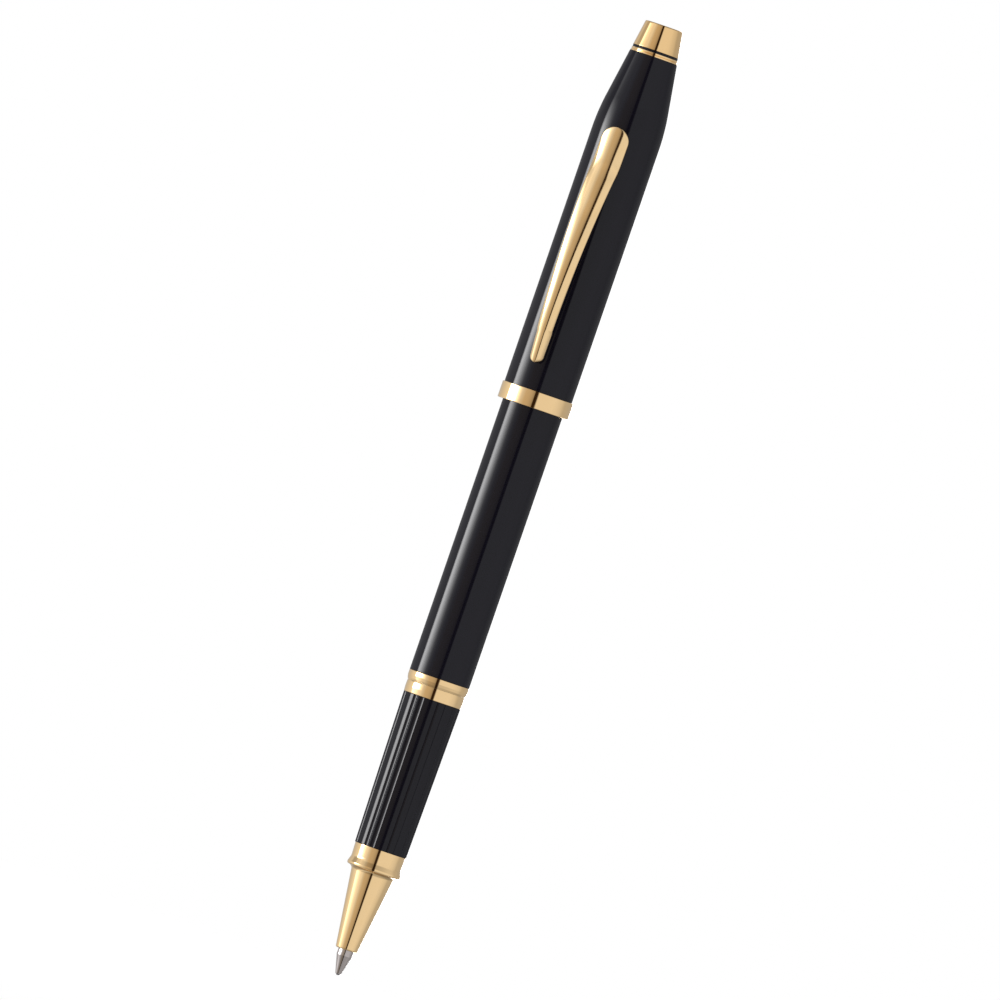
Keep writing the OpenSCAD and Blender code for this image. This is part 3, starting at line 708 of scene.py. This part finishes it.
def flank_at(x, z, half):
    """How far the flanks drop below the crown: towards the cap at the head, and a little on the toe."""
    share = (abs(x) / half) ** 4 if half > 0.2 else 0
    if z > apex_z:
        seat = math.sqrt((cap_r + seat_gap) ** 2 - half ** 2)
        wall = top_at(half, z) - edge_round - seat - foot_wall
        t = min(1, max(0, (z - neck_z + head_flank_from) / head_flank_over))
        return share * max(wall, 0) * head_flank * t * t * (3 - 2 * t)
    return share * toe_flank * min(1, max(0, (toe_top - z) / toe_flank_over))


def under_at(x, z, half):
    """Distance of the clip's underside in front of the axis: cap, foot, hollow arm, then toe pad."""
    shell = cap_r - shoulder_bend * (1 - math.cos(math.asin(max(z - shoulder_z, 0) / shoulder_bend)))
    seat = math.sqrt((shell + seat_gap) ** 2 - x ** 2)
    arm = math.sqrt(bow_r ** 2 - (z - apex_z) ** 2) - bow_r + clip_ridge - thickness
    arm += hollow * (1 - (x / max(half, 0.1)) ** 2) * min(1, max(0, (z - toe_top) / hollow_over))
    toe = min(1, max(0, (toe_top - z) / toe_step))
    arm -= toe_depth * (1 - (1 - toe) ** 2) ** 0.5
    foot = min(1, max(0, (z - neck_z) / foot_step))
    return max(arm + (seat - arm) * foot, seat)


def stepped(start, end, count):
    """Heights that lead in equal steps from just after the start to the end."""
    return [start + (end - start) * k / count for k in range(1, count + 1)]


# Rows run across the clip from its top centre to its bottom centre, bowed near the round ends so
# that each row starts and finishes on the outline. They lie closer where the shape changes fast.
rows = [(0, clip_top, clip_top)]
flat_half = head_half - corner_r
end_rows = 26
arc = corner_r * math.pi / 2
for k in range(1, end_rows + 1):
    s = (flat_half + arc) * k / end_rows
    a = max(s - flat_half, 0) / corner_r
    middle_z = clip_top - corner_r * (k / end_rows) ** 1.6
    rows.append((min(s, flat_half) + corner_r * math.sin(a), clip_top - corner_r * (1 - math.cos(a)),
                middle_z))
side_top = clip_top - corner_r
neck_top, neck_low = neck_z + neck_blend, neck_z - 0.3
pad_top, pad_low = toe_top + 0.2, toe_top - toe_flank_over
steps_down = stepped(side_top, neck_top, 14) + stepped(neck_top, neck_low, 13)
steps_down += stepped(neck_low, pad_top, 70) + stepped(pad_top, pad_low, 10)
steps_down += stepped(pad_low, end_z, 14)
rows += [(half_width_at(z), z, z) for z in steps_down]
for k in range(end_rows - 1, -1, -1):
    a = math.pi / 2 * k / end_rows
    middle_z = clip_bottom + end_half * (k / end_rows) ** 1.6
    rows.append((end_half * math.sin(a), end_z - end_half * math.cos(a), middle_z))

edge_steps = (0, 0.015, 0.04, 0.075, 0.12, 0.18)
middle_steps = 16
across = []
for half, z_side, z_middle in rows:
    scale = min(1, half / 0.45)
    cols = [half - d * scale for d in edge_steps]
    inner = cols[-1]
    cols += [inner * (1 - 2 * k / middle_steps) for k in range(1, middle_steps)]
    cols += [-inner] + [-c for c in cols[len(edge_steps) - 2::-1]]
    across.append([(x, z_side + (z_middle - z_side) * (1 - (x / half) ** 2 if half else 1), half)
                   for x in cols])


def edge_distance(x, z):
    """Distance in from the clip's outline."""
    here = Vector((abs(x), z))
    nearest = min(range(len(rows)), key=lambda i: (Vector(rows[i][:2]) - here).length_squared)
    best = 9.0
    for i in (nearest - 1, nearest):
        if 0 <= i < len(rows) - 1:
            a, b = Vector(rows[i][:2]), Vector(rows[i + 1][:2])
            ab = b - a
            t = min(1, max(0, (here - a).dot(ab) / max(ab.length_squared, 1e-12)))
            best = min(best, (here - a - ab * t).length)
    return best


made = bmesh.new()
faces_of = []
for under in (False, True):
    grid = []
    for line in across:
        if line[0][2] == 0:
            line = line[:1]
        ring = []
        for x, z, half in line:
            inset = min(edge_distance(x, z), edge_round)
            fall = edge_round - math.sqrt(edge_round ** 2 - (edge_round - inset) ** 2)
            top = top_at(x, z) - fall - flank_at(x, z, half)
            low = under_at(x, z, half) + (0 if z > neck_z else fall * under_round)
            y = min(low, top - 0.1) if under else top
            ring.append(made.verts.new((x * MM, -y * MM, z * MM)))
        grid.append(ring)
    faces_of.append(grid)
    for low, high in zip(grid, grid[1:]):
        for k in range(max(len(low), len(high)) - 1):
            corners = [low[min(k, len(low) - 1)], low[min(k + 1, len(low) - 1)],
                       high[min(k + 1, len(high) - 1)], high[min(k, len(high) - 1)]]
            corners = list(dict.fromkeys(corners))
            if len(corners) > 2:
                made.faces.new(corners)
top_grid, under_grid = faces_of
for side in (0, -1):
    for i in range(len(rows) - 1):
        corners = [top_grid[i][side], top_grid[i + 1][side], under_grid[i + 1][side], under_grid[i][side]]
        made.faces.new(corners)
bmesh.ops.recalc_face_normals(made, faces=made.faces)
mesh = bpy.data.meshes.new("pocket_clip")
made.to_mesh(mesh)
made.free()
smooth(mesh, 50)
clip = bpy.data.objects.new("pocket_clip", mesh)
bpy.context.scene.collection.objects.link(clip)


# Gold plate polished lengthwise on a felt wheel: marks run along the clip.
def wheel_polished_plate(name, colour, worn, line_mm, gloss):
    material, tree, shader = new_finish(name, colour, Metallic=1, Roughness=gloss)
    place = add(tree, "ShaderNodeTexCoord").outputs["Object"]
    drawn = add(tree, "ShaderNodeMapping", {"Vector": place, "Scale": (1, 1, 0.03)})
    marks = add(tree, "ShaderNodeTexNoise",
                {"Vector": drawn.outputs[0], "Scale": 1 / (line_mm * MM), "Detail": 4})
    tone = add(tree, "ShaderNodeTexNoise", {"Vector": place, "Scale": 1 / (1.8 * MM), "Detail": 3})
    colours = add(tree, "ShaderNodeMix",
                  {0: tone.outputs["Fac"], 6: linear(colour), 7: linear(worn)}, data_type="RGBA")
    tree.links.new(colours.outputs[2], shader.inputs["Base Color"])
    blur = add(tree, "ShaderNodeMapRange",
               {"Value": marks.outputs["Fac"], "From Min": 0.3, "From Max": 0.7,
                "To Min": gloss * 0.75, "To Max": gloss * 1.3})
    tree.links.new(blur.outputs[0], shader.inputs["Roughness"])
    bump = add(tree, "ShaderNodeBump",
               {"Height": marks.outputs["Fac"], "Strength": 0.2, "Distance": 0.0015 * MM})
    tree.links.new(bump.outputs[0], shader.inputs["Normal"])
    return material


clip_gold = wheel_polished_plate("wheel_polished_gold_plate", "#F8D49C", "#F9DAAA", 0.15, 0.09)
paint(clip, clip_gold, "clip", "clip_gold", "clip")

# Rolled spring brass behind the cap wall, hidden by the inner cap.
strip_brass = wheel_polished_plate("rolled_spring_brass", "#CDA45A", "#B98D45", 0.2, 0.3)
refinish(strip_brass, "clip_plate")


# ---------------------------------------------------------------- crown
# A gold-plated crown caps the end, over a thin black spacer and a gold ring. A steel stud runs
# down through the cap's end wall, and a brass nut inside draws the stack together.
spacer_r, spacer_z, crown_z = span("crown_spacer")
ring_r, ring_z, ring_high = span("crown_ring")
crown_base_r, _, crown_top = span("crown")
crown_flat_r = 2.92
stud_r, stud_z, stud_top = span("crown_stud")
crown_ring = lathe("crown_ring_turned", soften([
    (stud_r, ring_z), (ring_r, ring_z, 0.05), (ring_r - 0.035, ring_z + 0.22, 0.02),
    (ring_r - 0.12, ring_z + 0.29), (ring_r - 0.06, ring_z + 0.36, 0.02), (ring_r - 0.095, ring_high, 0.05),
    (stud_r, ring_high)]))
paint(crown_ring, gold, "cap", "gold_plate", "crown_ring")
spacer = lathe("crown_spacer_black", soften([
    (stud_r, spacer_z), (spacer_r, spacer_z), (spacer_r - 0.03, (spacer_z + crown_z) / 2, 0.2),
    (spacer_r, crown_z), (stud_r, crown_z)]))
paint(spacer, grip_black, "cap", "groove_black", "crown_spacer")
crown = lathe("crown_turned", soften([
    (stud_r, crown_z), (crown_base_r, crown_z, 0.08), (crown_flat_r, crown_top, 0.22), (0, crown_top),
    (0, stud_top), (stud_r, stud_top)]))
crown_gold = turned_plate("polished_gold_plate_crown", "#F4CC90", "#F5D09A", 0.18, 0.05)
paint(crown, crown_gold, "cap", "crown_gold", "crown")

stud_metal = turned_plate("rolled_thread_steel", "#A9ABAE", "#96999D", 0.09, 0.25)
stud_pitch = 0.45
stud_chamfer = 0.2
stud_sizes = {"Pitch": stud_pitch * MM, "Depth": 0.2 * MM, "Crest": stud_r * MM, "Bore": 0.9 * MM,
              "Start": stud_z * MM}
stud = lathe("crown_stud_threaded", [
    (0, stud_z), *threaded_run(stud_r, stud_z, stud_top, stud_pitch, stud_chamfer),
    (0, stud_top)], around=96)
bake(stud, threading, stud_sizes, stud_metal)
paint(stud, stud_metal, "cap", "stud_steel", "crown_stud")
refinish(brass, "crown_nut")


# ---------------------------------------------------------------- studio
# A pale floor below the point, a tall strip light and a wide soft box at the sides, a narrow
# black flag behind the camera, and a long lens at the pen's mid height.
height_mm = (cad_high.z - cad_low.z) / MM
camera_azimuth = math.radians(16.5)
camera_lean = math.radians(19.01)
towards_camera = Vector((math.sin(camera_azimuth), -math.cos(camera_azimuth), 0))
to_the_right = Vector((math.cos(camera_azimuth), math.sin(camera_azimuth), 0))

camera = bpy.data.objects.new("camera", bpy.data.cameras.new("camera"))
bpy.context.scene.collection.objects.link(camera)
camera.data.lens = 800
camera.data.sensor_width = 36
frame_width = 149.42
aim_left = 0.14
aim_rise = 0.1
up = Vector((0, 0, 1)) * math.cos(camera_lean) - to_the_right * math.sin(camera_lean)
right = to_the_right * math.cos(camera_lean) + Vector((0, 0, 1)) * math.sin(camera_lean)
aim = Vector((0, 0, height_mm / 2)) - right * aim_left + up * aim_rise
distance = frame_width * camera.data.lens / camera.data.sensor_width
camera.location = (aim + towards_camera * distance) * MM
camera.rotation_mode = "QUATERNION"
camera.rotation_quaternion = Matrix((right, up, towards_camera)).transposed().to_quaternion()
camera.data.clip_start, camera.data.clip_end = 0.05, 20
bpy.context.scene.camera = camera
bpy.context.scene.view_settings.view_transform = "Standard"

# The floor lies just below the lowest point that the unscrewed section reaches. It fades out at
# its rim, so no edge crosses a picture taken from low down.
floor_depth = 8
floor = bmesh.new()
bmesh.ops.create_circle(floor, cap_ends=True, segments=96, radius=0.4,
                        matrix=Matrix.Translation((0, 0, -floor_depth * MM)))
floor_mesh = bpy.data.meshes.new("floor")
floor.to_mesh(floor_mesh)
floor.free()
floor_piece = bpy.data.objects.new("floor", floor_mesh)
bpy.context.scene.collection.objects.link(floor_piece)
floor_paint, tree, shader = new_finish("pale_studio_floor", "#F4F4F4", Roughness=0.9)
place = add(tree, "ShaderNodeTexCoord").outputs["Object"]
away = add(tree, "ShaderNodeVectorMath", {0: place}, operation="LENGTH")
fade = add(tree, "ShaderNodeMapRange",
           {"Value": away.outputs["Value"], "From Min": 0.06, "From Max": 0.38, "To Min": 1, "To Max": 0},
           interpolation_type="SMOOTHSTEP")
tree.links.new(fade.outputs[0], shader.inputs["Alpha"])
floor_mesh.materials.append(floor_paint)
floor_piece.visible_glossy = False

# A broad overhead light keeps the floor pale. It stays out of the metal's reflections.
overhead = bpy.data.objects.new("overhead", bpy.data.lights.new("overhead", "AREA"))
bpy.context.scene.collection.objects.link(overhead)
overhead.location = (0, 0, 1.5)
overhead.data.size = 1.2
overhead.data.energy = 23
overhead.visible_glossy = False

# Brightness round the pen by degrees to the right of the camera: a wide soft box on the right, a
# black flag behind the camera, and a warm card on the left. A soft wash and a strip light are added
# further left. All of them fall off with height, and the strip falls off fastest.
WARM = (1, 0.87, 0.7)
UMBER = (1, 0.5, 0.2)
soft_light = ((-180, 0.5), (-144, 0.62), (-128, 0.7), (-116, 0), (-85, 0),
              (-72, 0.91), (-60, 0.9), (-53, 0.88), (-47, 0.72), (-35, 0.6, WARM),
              (-23, 0.55, WARM), (-14, 0.46, WARM), (-8.5, 0.33, WARM), (-7, 0.03, UMBER), (2, 0.03, UMBER),
              (5.5, 0.84), (60, 0.85), (74, 0.79), (89, 0.71), (104, 0.53),
              (144, 0.48), (180, 0.5))
wash_light = ((-128, 0), (-116, 0.8), (-106, 0.88), (-97, 0.93), (-85, 0.92),
              (-72, 0))
strip_light = ((-98.5, 0), (-96.5, 6), (-94, 14), (-91, 17.3), (-88, 17.4),
               (-81, 13.2), (-74, 8), (-67, 3.5), (-60, 0.8), (-53, 0.15),
               (-47, 0))
soft_fall = ((-90, 0.5), (-30, 0.62), (-16, 1), (5, 1), (16, 0.96), (18.5, 1.05),
             (28, 0.9), (40, 0.5), (66, 0.5), (80, 0.6), (90, 0.6))
wash_fall = ((-90, 0.5), (-30, 0.62), (-16, 1), (3, 1), (8, 0.72), (11, 0.6),
             (20, 0.5), (66, 0.5), (80, 0.6), (90, 0.6))
strip_fall = ((-60, 0.02), (-24, 0.035), (-15, 0.05), (-6, 0.08), (-4.2, 0.13),
              (-2.6, 0.85), (0, 1), (2.7, 0.845), (6, 0.51), (9.3, 0.31),
              (12.7, 0.14), (15, 0.055), (17, 0.02), (60, 0.015))

# A second strip stands behind the pen, out of the front view, and lights the back and sides.
rear_strip = ((163, 0), (167, 6), (172, 9), (177, 6), (180, 2))
rear_fall = ((-45, 0.2), (-25, 1), (-12, 1), (4, 0.8), (16, 0.2), (30, 0))


def ramp(tree, value, stops, low, high):
    """A ramp over (position, brightness) stops, some with a tint, read at a value between low and high."""
    where = add(tree, "ShaderNodeMapRange", {"Value": value, "From Min": low, "From Max": high})
    node = add(tree, "ShaderNodeValToRGB", {0: where.outputs[0]})
    while len(node.color_ramp.elements) < len(stops):
        node.color_ramp.elements.new(0.5)
    for element, (at, level, *tint) in zip(node.color_ramp.elements, stops):
        element.position = (at - low) / (high - low)
        element.color = [level * part for part in (tint[0] if tint else (1, 1, 1))] + [1]
    return node.outputs[0]


world = bpy.data.worlds.new("studio")
bpy.context.scene.world = world
world.use_nodes = True
tree = world.node_tree
tree.nodes.clear()
way = add(tree, "ShaderNodeTexCoord").outputs["Generated"]
ahead = add(tree, "ShaderNodeVectorMath", {0: way, 1: towards_camera}, operation="DOT_PRODUCT")
rightward = add(tree, "ShaderNodeVectorMath", {0: way, 1: to_the_right}, operation="DOT_PRODUCT")
round_angle = add(tree, "ShaderNodeMath", {0: rightward.outputs["Value"], 1: ahead.outputs["Value"]},
                  operation="ARCTAN2")
degrees = add(tree, "ShaderNodeMath", {0: round_angle.outputs[0]}, operation="DEGREES").outputs[0]
upward = add(tree, "ShaderNodeSeparateXYZ", {0: way}).outputs[2]
lift = add(tree, "ShaderNodeMath", {0: upward}, operation="ARCSINE")
lift_degrees = add(tree, "ShaderNodeMath", {0: lift.outputs[0]}, operation="DEGREES").outputs[0]
shaped = None
for light, fall in ((soft_light, soft_fall), (wash_light, wash_fall), (strip_light, strip_fall),
                    (rear_strip, rear_fall)):
    lamp = add(tree, "ShaderNodeVectorMath",
               {0: ramp(tree, degrees, light, -180, 180), 1: ramp(tree, lift_degrees, fall, -90, 90)},
               operation="MULTIPLY")
    shaped = add(tree, "ShaderNodeVectorMath", {0: lamp.outputs[0], 1: shaped.outputs[0]},
                 operation="ADD") if shaped else lamp
lights = add(tree, "ShaderNodeBackground", {"Color": shaped.outputs[0]})
seen_white = add(tree, "ShaderNodeBackground", {"Color": (1, 1, 1, 1)})
seen = add(tree, "ShaderNodeLightPath").outputs["Is Camera Ray"]
either = add(tree, "ShaderNodeMixShader", {0: seen, 1: lights.outputs[0], 2: seen_white.outputs[0]})
add(tree, "ShaderNodeOutputWorld", {0: either.outputs[0]})
